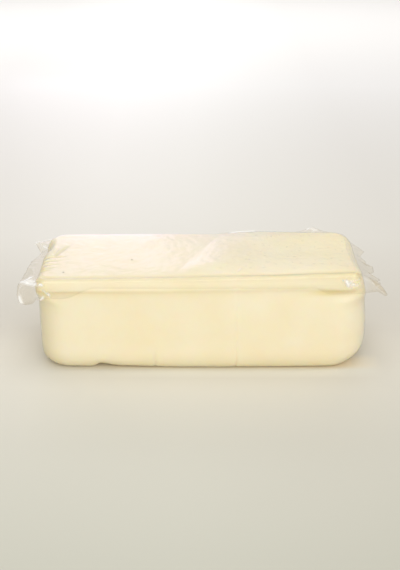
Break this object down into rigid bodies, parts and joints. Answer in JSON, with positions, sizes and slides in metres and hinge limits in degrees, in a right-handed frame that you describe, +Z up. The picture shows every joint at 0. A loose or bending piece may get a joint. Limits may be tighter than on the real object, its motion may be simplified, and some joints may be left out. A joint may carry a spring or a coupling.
{
  "type": "vacuum-packed mozzarella loaf",
  "caption": "Soft white mozzarella loaf with rounded corners, sealed tight in clear film whose wavy margin stands out round the top edge and folds down along the front.",
  "frame": {"origin": "middle of the flat base that the loaf stands on", "axes": "+X along the loaf, +Y from the front to the back, +Z up"},
  "size_m": [0.3047, 0.1284, 0.0898],
  "materials": {
    "cheese": "soft pale cream cheese, faintly translucent, under clinging glossy film",
    "clear_film": "thin clear glossy film with crisp folds"
  },
  "bodies": {
    "root": {"cheese_loaf": "cheese", "film_margin": "clear_film"}
  },
  "joints": []
}
